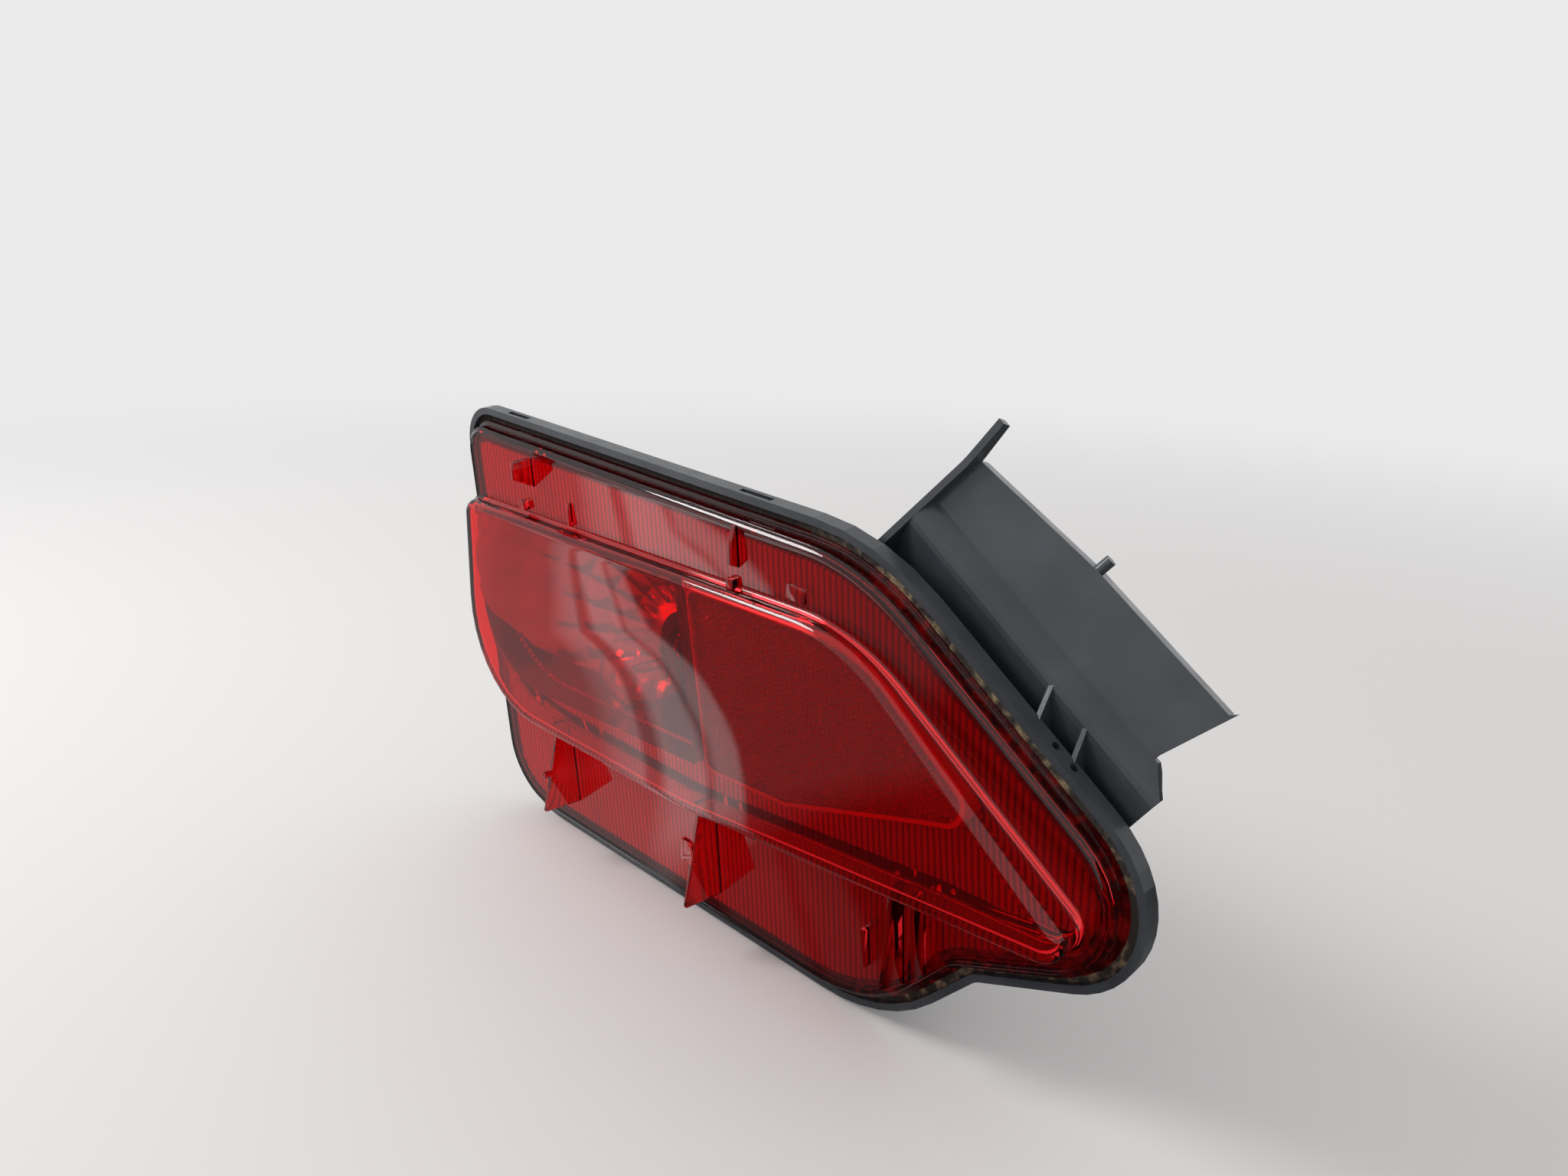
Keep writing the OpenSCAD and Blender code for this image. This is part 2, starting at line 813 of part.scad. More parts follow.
// Pie slice about the bulb axis
module sector(r, a0, a1, y0, y1) {
    translate([bulb_at[0], y1, bulb_at[1]])
        rotate([90, 0, 0])
            linear_extrude(y1 - y0)
                polygon(concat([[0, 0]], [for (k = [0 : 6])
                    let (a = a0 + (a1 - a0) * k / 6) [r * cos(a), r * sin(a)]]));
}

// A flat strip between two corners given from the bulb axis as [x, y, z]
module strip(low, high) {
    translate([bulb_at[0], 0, bulb_at[1]]) translate(low) cube(high - low);
}

module live_strips() {
    strip([-3, spring_seat, -terminal_w / 2],
        [blade_gap + terminal_t / 2, spring_seat + terminal_t, terminal_w / 2]);
    strip([blade_gap - terminal_t / 2, spring_seat, -terminal_w / 2],
        [blade_gap + terminal_t / 2, holder_back + plug_l - 4, terminal_w / 2]);
}

module earth_strips() {
    out = -shell_r - shell_t / 2;
    strip([out - terminal_t / 2, shell_back, -terminal_w / 2],
        [out + terminal_t / 2, spring_seat, terminal_w / 2]);
    strip([out - terminal_t / 2, spring_seat, -terminal_w / 2],
        [-blade_gap + terminal_t / 2, spring_seat + terminal_t, terminal_w / 2]);
    strip([-blade_gap - terminal_t / 2, spring_seat, -terminal_w / 2],
        [-blade_gap + terminal_t / 2, holder_back + plug_l - 4, terminal_w / 2]);
}

module live_terminal() {
    color("khaki") from_corner() live_strips();
}

module earth_terminal() {
    color("khaki") from_corner() earth_strips();
}

module holder_body() {
    body_r = holder_hole_r - 0.8;
    color("black") from_corner()
        difference() {
            union() {
                turned(bulb_at, [
                    [0, lug_front], [holder_hole_r - 0.3, lug_front], [holder_hole_r - 0.3, flange_front],
                    [lug_r + 3.4, flange_front], [lug_r + 3.4, flange_back], [body_r, flange_back],
                    [body_r, holder_back - 2], [0, holder_back - 2],
                ]);
                slab(plug_outline(0), holder_back - 5, holder_back + plug_l);
                for (k = [0 : 2])
                    translate([bulb_at[0], 0, bulb_at[1]])
                        rotate([0, 120 * k, 0])
                            translate([cup_r + 1, lug_front, -lug_w / 2])
                                cube([lug_r - cup_r - 1, lug_t, lug_w]);
                strip([-lug_r - 3, flange_back - 1, -2.5], [-body_r + 2, flange_back + 9, 2.5]);
                strip([body_r - 2, flange_back - 1, -2.5], [lug_r + 3, flange_back + 9, 2.5]);
            }
            bar(bulb_at, cup_r, lug_front - 1, flange_front);
            bar(bulb_at, cap_r + bayonet_r + 0.9, flange_front - 1, pin_y + bulb_travel + bayonet_r + 1);
            bar(bulb_at, shell_r + shell_t, flange_front, shell_back);
            bar(bulb_at, 3.4, shell_back - 1, spring_seat);
            slab(plug_outline(plug_wall), holder_back, holder_back + plug_l + 1);
            live_strips();
            earth_strips();
        }
}

// Bayonet sleeve with two J-shaped slots: straight in, then round, then a notch
slot_turn = 25;
module holder_shell() {
    color("silver") from_corner()
        difference() {
            tube(bulb_at, shell_r, shell_r + shell_t, shell_front, shell_back);
            for (s = [0, 180]) {
                sector(12, s - 9, s + 9, pin_y - bayonet_r - 0.1, pin_y + bayonet_r + 1);
                sector(12, s - 9, s + slot_turn + 9, pin_y + 0.4, pin_y + bulb_travel + bayonet_r + 0.2);
                sector(12, s + slot_turn - 9, s + slot_turn + 9, shell_front - 1, pin_y + 1);
            }
        }
}

module holder_gasket() {
    color("dimgray") from_corner()
        tube(bulb_at, holder_hole_r + 0.4, lug_r + 2.4, floor_depth, flange_front);
}

plunger_r = 2.7;
plunger_t = 1.6;
module contact_plunger() {
    color("khaki") from_corner() {
        bar(bulb_at, plunger_r, contact_front, contact_front + plunger_t);
        bar(bulb_at, 1.3, contact_front, spring_seat - bulb_travel - 0.3);
    }
}

// Coil spring between the plunger and its seat
wire_r = 0.3;
coil_r = 2.4;
coil_turns = 4;
coil_sides = 8;
coil_steps = 16;
module contact_spring() {
    y0 = contact_front + plunger_t + wire_r + 0.02;
    y1 = spring_seat - wire_r - 0.02;
    n = coil_turns * coil_steps;
    rings = [for (i = [0 : n]) let (a = 360 * i / coil_steps, y = y0 + (y1 - y0) * i / n)
        for (j = [0 : coil_sides - 1]) let (b = 360 * j / coil_sides, r = coil_r + wire_r * cos(b))
            [bulb_at[0] + r * cos(a), y + wire_r * sin(b), bulb_at[1] + r * sin(a)]];
    sides = [for (i = [0 : n - 1]) for (j = [0 : coil_sides - 1]) let (
        p = i * coil_sides + j, q = i * coil_sides + (j + 1) % coil_sides
    ) [p, q, q + coil_sides, p + coil_sides]];
    color("gainsboro") from_corner()
        polyhedron(rings, concat(sides, [
            [for (j = [coil_sides - 1 : -1 : 0]) j],
            [for (j = [0 : coil_sides - 1]) n * coil_sides + j],
        ]), convexity = 8);
}

// ---------------------------------------------------------------- breather
cap_wall = 1.6;
module vent_cap() {
    color("black") from_corner() {
        tube(vent_at, spigot_r + 0.02, spigot_r + cap_wall, vent_root + 2, vent_root + spigot_l + 2.5);
        bar(vent_at, spigot_r + cap_wall, vent_root + spigot_l + 1.2, vent_root + spigot_l + 2.5);
    }
}

module vent_membrane() {
    color("white") from_corner()
        bar(vent_at, spigot_r - 0.4, vent_root + spigot_l, vent_root + spigot_l + 0.4);
}

outer_lens();
housing();
lens_sealant();
reflector();
reflector_screws();
fluted_bezel();
reflex_panel();
reflex_backing();
bulb_glass();
bulb_stem();
bulb_leads();
bulb_filament();
bulb_cap();
bulb_insulator();
bulb_contact();
bulb_pins();
holder_body();
holder_shell();
holder_gasket();
contact_plunger();
contact_spring();
live_terminal();
earth_terminal();
vent_cap();
vent_membrane();
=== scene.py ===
# %% [markdown]
# A rear bumper lamp: a red lens with a raised window, a grey housing with a side wing, and
# behind the lens a mirrored bowl, a fluted bezel and a reflex panel of cube corners.
# The imported CAD model is the fixed frame. This lesson gives each piece its surface,
# builds again, in mesh code, the four pieces whose small forms the CAD leaves plain, and
# puts a copy of the contact spring's coil in its place.

# %% Load the imported lamp
import math

import bmesh
import bpy
import numpy as np
from mathutils import Matrix, Vector


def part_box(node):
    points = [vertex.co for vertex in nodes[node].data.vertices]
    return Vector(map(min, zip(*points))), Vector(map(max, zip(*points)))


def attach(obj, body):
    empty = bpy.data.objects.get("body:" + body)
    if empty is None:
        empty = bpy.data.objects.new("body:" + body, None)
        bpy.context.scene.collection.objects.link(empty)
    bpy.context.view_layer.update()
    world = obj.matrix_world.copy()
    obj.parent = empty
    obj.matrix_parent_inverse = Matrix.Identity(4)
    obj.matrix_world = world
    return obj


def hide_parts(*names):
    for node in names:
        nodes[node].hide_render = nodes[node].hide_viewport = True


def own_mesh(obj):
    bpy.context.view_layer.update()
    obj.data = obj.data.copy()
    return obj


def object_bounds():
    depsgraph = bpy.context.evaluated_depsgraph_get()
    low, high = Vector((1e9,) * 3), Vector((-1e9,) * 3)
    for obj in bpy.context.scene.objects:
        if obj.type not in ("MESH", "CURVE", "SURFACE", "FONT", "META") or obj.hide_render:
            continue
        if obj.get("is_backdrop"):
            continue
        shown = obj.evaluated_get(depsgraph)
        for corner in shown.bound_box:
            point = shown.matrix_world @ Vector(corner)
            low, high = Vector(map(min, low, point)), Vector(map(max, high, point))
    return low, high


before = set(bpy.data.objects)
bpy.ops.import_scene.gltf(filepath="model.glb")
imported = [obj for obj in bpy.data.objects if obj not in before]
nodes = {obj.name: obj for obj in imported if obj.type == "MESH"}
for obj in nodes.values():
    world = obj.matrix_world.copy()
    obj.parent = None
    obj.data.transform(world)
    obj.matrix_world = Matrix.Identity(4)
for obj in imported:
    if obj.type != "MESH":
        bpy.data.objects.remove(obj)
cad_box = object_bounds()

# %% [markdown]
# Sizes are written in millimetres, measured from the top-left corner of the lens, with y
# running back into the car. One function carries them to the row's frame, which has its
# zero at the locating pin and counts in metres.

# %% Millimetres from the lens corner to metres from the pin
PIN_ROOT = np.array([150.0, 28.416, -60.0])


def to_row(points):
    return (np.asarray(points, float) - PIN_ROOT) / 1000


lens_box = np.array(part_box("outer_lens")) * 1000 + PIN_ROOT
print("lens, mm from its corner:", np.round(lens_box, 1).tolist())

# %% [markdown]
# The camera stands to the right of the lamp and a little above it, close by, as a phone
# does. Its place and lens are set first, because they decide how large each detail shows.

# %% Camera
camera_data = bpy.data.cameras.new("camera")
camera_data.sensor_width = 36
camera_data.lens = 27.07
camera = bpy.data.objects.new("camera", camera_data)
bpy.context.scene.collection.objects.link(camera)
bpy.context.scene.camera = camera

AZIMUTH, ELEVATION, ROLL = math.radians(45), math.radians(17.5), math.radians(2.1)
aside = math.cos(ELEVATION)
back = Vector((math.sin(AZIMUTH) * aside, -math.cos(AZIMUTH) * aside, math.sin(ELEVATION)))
right = (-back).cross(Vector((0, 0, 1))).normalized()
up = back.cross(right)
axes = Matrix((right, up, back)).transposed()
turn_about_view = Matrix.Rotation(ROLL, 3, "Z")
camera.matrix_world = (axes @ turn_about_view).to_4x4()
camera.location = (0.203, -0.2282, 0.1309)
print("camera at", tuple(round(v, 3) for v in camera.location))

# %% [markdown]
# Colours are written as sRGB hex, the way a colour picker shows them. Shaders count in
# linear light, so one function converts them all.

# %% Colour from hex
def colour(code, alpha=1.0):
    parts = [int(code[i : i + 2], 16) / 255 for i in (1, 3, 5)]
    return [c / 12.92 if c <= 0.04045 else ((c + 0.055) / 1.055) ** 2.4 for c in parts] + [alpha]


print("mid grey is", round(colour("#808080")[0], 3), "in linear light")

# %% [markdown]
# Every material is a small tree of nodes. One helper adds a node, sets its properties and
# fills or links its inputs. A texture's scale is one over its feature size, so a second
# helper turns a size in millimetres into a scale.

# %% Node helpers
def add(tree, kind, settings=None, inputs=None):
    node = tree.nodes.new(kind)
    for name, value in (settings or {}).items():
        setattr(node, name, value)
    for name, value in (inputs or {}).items():
        if isinstance(value, bpy.types.NodeSocket):
            tree.links.new(value, node.inputs[name])
        else:
            node.inputs[name].default_value = value
    return node


def per_mm(size):
    return 1000 / size


def material(name, **shader):
    made = bpy.data.materials.new(name)
    made.use_nodes = True
    tree = made.node_tree
    tree.nodes.clear()
    inputs = {socket.replace("_", " "): value for socket, value in shader.items()}
    surface = add(tree, "ShaderNodeBsdfPrincipled", None, inputs)
    add(tree, "ShaderNodeOutputMaterial", None, {"Surface": surface.outputs["BSDF"]})
    return made, tree, surface


def along_x(tree):
    """How far a point lies along the piece's x, in metres."""
    where = add(tree, "ShaderNodeTexCoord").outputs["Object"]
    return add(tree, "ShaderNodeSeparateXYZ", None, {"Vector": where}).outputs["X"]


def mottle(tree, size, low_end, high_end, detail=3.0):
    """Soft patches of a size in mm, as a factor that runs from low_end to high_end."""
    where = add(tree, "ShaderNodeTexCoord").outputs["Object"]
    noise = add(tree, "ShaderNodeTexNoise", None, {"Vector": where, "Scale": per_mm(size), "Detail": detail})
    spread = add(tree, "ShaderNodeMapRange", None, {
        "Value": noise.outputs[0], "From Min": 0.3, "From Max": 0.7, "To Min": low_end, "To Max": high_end,
    })
    return spread.outputs["Result"]


def two_tone(tree, factor, first, second):
    mix = add(tree, "ShaderNodeMix", {"data_type": "RGBA"}, {0: factor, 6: colour(first), 7: colour(second)})
    return mix.outputs[2]


def painted_flute_shade(tree, pitch, crest, groove):
    """Painted flute shading: upright bands of a pitch in mm, painted light on the crests and painted shade
    in the grooves.
    """
    half_turns = math.pi * per_mm(pitch)
    turn = add(tree, "ShaderNodeMath", {"operation": "MULTIPLY"}, {0: along_x(tree), 1: half_turns})
    wave = add(tree, "ShaderNodeMath", {"operation": "SINE"}, {0: turn.outputs[0]})
    height = add(tree, "ShaderNodeMath", {"operation": "ABSOLUTE"}, {0: wave.outputs[0]})
    return two_tone(tree, height.outputs[0], groove, crest)


def relief(tree, height, depth):
    """Bump whose height of 1 is depth millimetres."""
    inputs = {"Height": height, "Distance": depth / 1000, "Strength": 1.0}
    return add(tree, "ShaderNodeBump", None, inputs).outputs["Normal"]


print("grain of 0.5 mm has scale", per_mm(0.5))

# %% [markdown]
# The lens is injection-moulded PMMA (acrylic), dyed red all through. PMMA is glass-clear,
# so light tints once on its way in and once on its way out. Its IOR is 1.49. Moulded
# faces are glossy, with a film of dust and faint scuffs that roughen them in patches, and
# they are never quite flat. The fluted bezel is the same plastic, opaque, with painted
# shade in the grooves of its flutes and painted light on their crests. Its red is also
# painted darker towards the tip, as painted shade on the side away from the light.

# %% Red PMMA
PMMA_IOR = 1.49
lens_red, tree, surface = material(
    "PMMA_red", Base_Color=colour("#f8242c"), Roughness=0.03, IOR=PMMA_IOR, Transmission_Weight=1.0
)
dust = mottle(tree, 14, 0.01, 0.06)
tree.links.new(dust, surface.inputs["Roughness"])
tree.links.new(relief(tree, mottle(tree, 14, 0, 1, 0), 0.012), surface.inputs["Normal"])

FLUTE = 2.0
bezel_red, tree, surface = material(
    "PMMA_red_fluted", Base_Color=colour("#c4161e"), Roughness=0.18, IOR=PMMA_IOR
)
# Painted shade towards the tip: this factor runs from 0 at the left end to 1 at the tip, where the mix below
# takes the darker pair of flute colours.
thickness = add(tree, "ShaderNodeMapRange", None, {
    "Value": along_x(tree), "From Min": -0.06, "From Max": 0.03,
})
painted_tip_shade = add(tree, "ShaderNodeMix", {"data_type": "RGBA"}, {
    0: thickness.outputs["Result"],
    # Both pairs paint light on the flute crests and shade in the grooves; the second pair is the painted
    # shade of the tip.
    6: painted_flute_shade(tree, FLUTE, "#f23a42", "#820c14"),
    7: painted_flute_shade(tree, FLUTE, "#961a20", "#3c060a"),
})
tree.links.new(painted_tip_shade.outputs[2], surface.inputs["Base Color"])

reflex_red, tree, surface = material(
    "PMMA_red_prisms", Base_Color=colour("#e83038"), Roughness=0.2, IOR=PMMA_IOR, Transmission_Weight=1.0
)
tree.links.new(mottle(tree, 5, 0.15, 0.3), surface.inputs["Roughness"])
print("PMMA made, flutes of", FLUTE, "mm")

# %% [markdown]
# The housing is moulded polypropylene (PP) in blue-grey. The mould is spark-eroded, which
# leaves a fine grain of about 0.4 mm, drawn here a little coarser so that it shows. Faces
# seen at a flat angle shine, and handling and dust make the grey uneven.

# %% Grey grained PP
housing_grey, tree, surface = material(
    "PP_grey_grained", Base_Color=colour("#373a3e"), Roughness=0.5, IOR=1.49
)
tree.links.new(two_tone(tree, mottle(tree, 22, 0, 1, 5), "#34373b", "#44484d"), surface.inputs["Base Color"])
tree.links.new(mottle(tree, 8, 0.2, 0.36), surface.inputs["Roughness"])
tree.links.new(relief(tree, mottle(tree, 0.6, 0, 1), 0.012), surface.inputs["Normal"])

# %% [markdown]
# Butyl sealant is a soft rubber laid as a hot bead. Along the top it is painted black, as
# painted shade for the deep gutter there. Along the sloping side and the tip it has picked
# up grit, so there its colour is mottled with tan, and its surface is lumpy everywhere.

# %% Tan butyl sealant
sealant_tan, tree, surface = material("butyl_tan", Base_Color=colour("#8b7a5e"), Roughness=0.85)
# Painted shade: this factor keeps the sealant black along the top, in the gutter's shade, and lets the tan
# grit in towards the shoulder and the slope.
gutter_shade_and_grit = add(tree, "ShaderNodeMapRange", None, {"Value": along_x(tree), "From Min": 0.0, "From Max": 0.03})
bead = add(tree, "ShaderNodeMix", {"data_type": "RGBA"}, {
    0: gutter_shade_and_grit.outputs["Result"],
    6: colour("#1c1614"),
    7: two_tone(tree, mottle(tree, 4, -0.9, 1, 5), "#2a2520", "#8c7a5c"),
})
tree.links.new(bead.outputs[2], surface.inputs["Base Color"])
tree.links.new(relief(tree, mottle(tree, 2.5, 0, 1, 4), 0.5), surface.inputs["Normal"])

# %% [markdown]
# The bowl is polycarbonate (PC) with aluminium evaporated on it in vacuum: a mirror that
# is a little soft. The metals of the bulb and holder are tinned or nickel-washed brass
# and steel, which differ in tint and in how rough they are.

# %% Mirror and metals
def metal(name, code, rough_low, rough_high, patch=2.0):
    middle = (rough_low + rough_high) / 2
    made, tree, surface = material(name, Base_Color=colour(code), Metallic=1.0, Roughness=middle)
    tree.links.new(mottle(tree, patch, rough_low, rough_high), surface.inputs["Roughness"])
    return made


mirror = metal("aluminised_PC", "#a6aaae", 0.1, 0.24, 6)
screw_zinc = metal("zinc_plated_steel", "#b9bcb4", 0.3, 0.45)
tinned_steel = metal("tinned_steel", "#bdbfc0", 0.25, 0.4)
tinned_brass = metal("tinned_brass", "#c9bf9c", 0.25, 0.4)
cap_brass = metal("nickel_washed_brass", "#c2a873", 0.2, 0.38)
spring_steel = metal("spring_steel", "#a8a9aa", 0.2, 0.3)
nickel_wire = metal("nickel_wire", "#8d8a86", 0.3, 0.4)
tungsten = metal("tungsten_coil", "#5d5c60", 0.4, 0.5)
solder = metal("tin_solder", "#9b9c9d", 0.3, 0.5, 0.8)

# %% [markdown]
# What is left is plastic, rubber, glass and a paper-thin breather film. Black nylon filled
# with glass fibre is satin, EPDM rubber is dull, ABS is a soft-looking white.

# %% Plastics, rubber and glass
def moulded(name, first, second, rough, grain, depth):
    made, tree, surface = material(name, Base_Color=colour(first), Roughness=rough)
    tree.links.new(two_tone(tree, mottle(tree, 12, 0, 1), first, second), surface.inputs["Base Color"])
    tree.links.new(relief(tree, mottle(tree, grain, 0, 1), depth), surface.inputs["Normal"])
    return made


holder_black = moulded("PA_black_glass_filled", "#1c1d1f", "#26272a", 0.42, 0.7, 0.02)
gasket_rubber = moulded("EPDM_rubber", "#191919", "#242424", 0.8, 0.5, 0.04)
backing_white = moulded("ABS_white", "#dcdad4", "#cfccc4", 0.4, 1.0, 0.01)
vitrite = moulded("black_cap_glass", "#0c0c0e", "#141417", 0.12, 2.0, 0.01)
breather_film = moulded("PTFE_film", "#e9e8e4", "#d8d6d0", 0.7, 0.4, 0.02)

GLASS_IOR = 1.52
bulb_clear, tree, surface = material(
    "soda_lime_glass", Base_Color=colour("#fbfdfd"), Roughness=0.01, IOR=GLASS_IOR, Transmission_Weight=1.0
)
tree.links.new(mottle(tree, 12, 0.0, 0.03), surface.inputs["Roughness"])
stem_glass, tree, surface = material(
    "pressed_glass", Base_Color=colour("#e8f0ee"), Roughness=0.08, IOR=GLASS_IOR, Transmission_Weight=1.0
)
tree.links.new(relief(tree, mottle(tree, 1.5, 0, 1), 0.05), surface.inputs["Normal"])
print("materials:", len(bpy.data.materials))

# %% [markdown]
# The pieces whose CAD shape is already right keep it. They are shaded smooth, except where
# two faces meet at more than 25 degrees, and take their material.

# %% Finish the CAD nodes
FINISH = {
    "housing": housing_grey, "lens_sealant": sealant_tan, "reflector_screws": screw_zinc,
    "reflex_backing": backing_white, "bulb_glass": bulb_clear, "bulb_stem": stem_glass,
    "bulb_leads": nickel_wire, "bulb_filament": tungsten, "bulb_cap": cap_brass,
    "bulb_insulator": vitrite, "bulb_contact": solder, "bulb_pins": cap_brass,
    "holder_body": holder_black, "holder_shell": tinned_steel, "holder_gasket": gasket_rubber,
    "contact_plunger": tinned_brass, "contact_spring": spring_steel, "live_terminal": tinned_brass,
    "earth_terminal": tinned_brass, "vent_cap": gasket_rubber, "vent_membrane": breather_film,
    "outer_lens": lens_red, "reflector": mirror, "fluted_bezel": bezel_red, "reflex_panel": reflex_red,
}


def shade(mesh, degrees=25):
    mesh.shade_smooth()
    mesh.set_sharp_from_angle(angle=math.radians(degrees))


for name, finish in FINISH.items():
    mesh = nodes[name].data
    mesh.materials.clear()
    mesh.materials.append(finish)
    shade(mesh)
print("finished nodes:", len(FINISH))

# %% [markdown]
# The outlines of the lens, the window and the panel are polygons with a radius at each
# corner. The next functions move such an outline in or out and walk round it. The number
# of points never depends on the offset, so two offsets of one outline can be joined point
# by point: that is how every rounded edge below is made.

# %% Outlines with rounded corners
def unit(v):
    return v / np.linalg.norm(v)


def cross2(a, b):
    return a[0] * b[1] - a[1] * b[0]


def meet(p, u, q, v):
    p, u, q, v = (np.asarray(a, float) for a in (p, u, q, v))
    return p + u * cross2(q - p, v) / cross2(u, v)


def corner_frames(corners):
    c = np.array(corners, float)
    for i in range(len(c)):
        here = c[i, :2]
        yield here, unit(here - c[i - 1, :2]), unit(c[(i + 1) % len(c), :2] - here), c[i, 2]


def grown(corners, d):
    out = []
    for here, u, v, r in corner_frames(corners):
        p = meet(here + np.array([-u[1], u[0]]) * d, u, here + np.array([-v[1], v[0]]) * d, v)
        out.append([p[0], p[1], max(r + (d if cross2(u, v) < 0 else -d), 0.3)])
    return out


def turned(v, angle):
    c, s = math.cos(angle), math.sin(angle)
    return [v[0] * c - v[1] * s, v[0] * s + v[1] * c]


def walk(corners, arc=9, side=6):
    """Points round the outline: arc steps in each corner and side steps along each side."""
    arcs = []
    for here, u, v, r in corner_frames(corners):
        way = -1 if cross2(u, v) < 0 else 1
        bend = math.acos(max(-1, min(1, u @ v)))
        start = here - u * r * math.tan(bend / 2)
        centre = start + np.array([-u[1], u[0]]) * way * r
        arm = start - centre
        arcs.append([centre + turned(arm, way * bend * k / arc) for k in range(arc + 1)])
    points = []
    for i, arc_points in enumerate(arcs):
        points += arc_points
        end, following = arc_points[-1], arcs[(i + 1) % len(arcs)][0]
        points += [end + (following - end) * k / side for k in range(1, side)]
    return np.array(points)


# %% [markdown]
# Each corner of an outline is its x, its z and its radius. The flange is straight at the
# top and left, slopes down to the tip at the right and has a lobe below it. The window,
# the chamber of the bulb and the reflex panel follow from its sides.

# %% The lamp's outlines
LENS_W, LENS_H, RAKE = 248.0, 139.0, math.radians(6)
SLOPE_RUN, SLOPE_FALL, TIP_R = 94.0, 71.7, 23.0
slope = unit(np.array([SLOPE_RUN, -SLOPE_FALL]))
inward = np.array([slope[1], -slope[0]])
shoulder = np.array([LENS_W + TIP_R - SLOPE_RUN, -6.5])
sharp_tip = shoulder + [SLOPE_RUN, -SLOPE_FALL]
lobe_top = np.array([sharp_tip[0] - 64, -LENS_H + 32])
FLANGE = [
    [0, 1.5, 9], [*shoulder, 60], [*sharp_tip, TIP_R], [*lobe_top, 12],
    [lobe_top[0] - 32 * 0.92, -LENS_H, 50], [0, -LENS_H, 22],
]

WIN_TOP, WIN_FOOT = -24.0, -95.6
SIDE_STRIP, FOOT_RISE = 15.2, 0.096
win_side = shoulder + inward * SIDE_STRIP
win_bend = [0.464 * LENS_W, WIN_FOOT - 0.2]
WINDOW = [
    [-1, WIN_TOP, 5],
    [*meet([0, WIN_TOP], [1, 0], win_side, slope), 54],
    [*meet(win_bend, [1, FOOT_RISE], win_side, slope), 6],
    [*win_bend, 150],
    [0, WIN_FOOT, 38],
]
CELL_FOOT, RISE = WIN_FOOT + 6.6, 0.042
DIVIDER, LEAN = 110.0, 12.0
CHAMBER = [
    [-1, WIN_TOP, 5], [DIVIDER, WIN_TOP, 4],
    [DIVIDER + LEAN, CELL_FOOT + RISE * (DIVIDER + LEAN), 4], [0, CELL_FOOT, 38],
]
BULB = np.array([70.0, CELL_FOOT + 19])
PANEL_LEFT, PANEL_TOP, PANEL_FOOT, PANEL_RISE = DIVIDER + 3, WIN_TOP - 5, CELL_FOOT + 4.3, 0.294
panel_side = win_side + inward * 5
panel_turn = meet([0, PANEL_FOOT], [1, RISE], [138, CELL_FOOT + 6], [1, PANEL_RISE])
PANEL = [
    [PANEL_LEFT, PANEL_TOP, 3],
    [*meet([0, PANEL_TOP], [1, 0], panel_side, slope), 45],
    [*meet(panel_turn, [1, PANEL_RISE], panel_side, slope), 4],
    [*panel_turn, 3],
    [*meet([0, PANEL_FOOT], [1, RISE], [PANEL_LEFT, WIN_TOP], [LEAN, CELL_FOOT - WIN_TOP]), 3],
]
print("points round the flange:", len(walk(FLANGE)), "window:", len(walk(WINDOW)))

# %% [markdown]
# A loft joins a row of loops with quads and closes both ends, so an edge's cross-section is
# just a list of (offset, depth) pairs. Solids are then joined and cut with an exact
# boolean. The flange's loops are drawn upright and leaned back by the rake afterwards.

# %% Lofts and booleans
def raked(points):
    p = np.array(points, float)
    y, z = p[:, 1].copy(), p[:, 2].copy()
    p[:, 1] = y * math.cos(RAKE) - z * math.sin(RAKE)
    p[:, 2] = y * math.sin(RAKE) + z * math.cos(RAKE)
    return p


def at_depth(xz, y):
    depth = np.full(len(xz), y) if np.isscalar(y) else np.asarray(y)
    return np.column_stack([xz[:, 0], depth, xz[:, 1]])


def solid(loops):
    """A bmesh from loops of equal length, in mm, closed at both ends."""
    bm = bmesh.new()
    rings = [[bm.verts.new(to_row(p)) for p in loop] for loop in loops]
    for a, b in zip(rings, rings[1:]):
        for k in range(len(a)):
            bm.faces.new([a[k - 1], a[k], b[k], b[k - 1]])
    bm.faces.new(rings[0][::-1])
    bm.faces.new(rings[-1])
    bmesh.ops.recalc_face_normals(bm, faces=bm.faces)
    return bm


def object_from(bm, name):
    mesh = bpy.data.meshes.new(name)
    bm.to_mesh(mesh)
    bm.free()
    made = bpy.data.objects.new(name, mesh)
    bpy.context.scene.collection.objects.link(made)
    return made


def combine(base, other, operation):
    step = base.modifiers.new("step", "BOOLEAN")
    step.operation, step.solver, step.object = operation, "EXACT", other
    result = bpy.data.meshes.new_from_object(base.evaluated_get(bpy.context.evaluated_depsgraph_get()))
    base.modifiers.clear()
    base.data = result
    bpy.data.objects.remove(other)
    return base


def takes_over(piece, node, body, finish, degrees=30):
    """The piece stands for the CAD node, rides on its body and takes its finish."""
    piece.data.materials.clear()
    piece.data.materials.append(finish)
    shade(piece.data, degrees)
    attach(piece, body)
    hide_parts(node)
    print(piece.name, len(piece.data.vertices), "points")


# %% [markdown]
# The lens flange is a 2.5 mm plate. A fine bead runs 1.7 mm inside its edge, with a
# chamfer outside it, and both catch thin lines of light. The edge turns straight back into
# a side wall with a foot that sits in the housing's gutter. All of it is one loft: the
# section starts on the face, goes over the edge, round the foot and up the wall's inside.

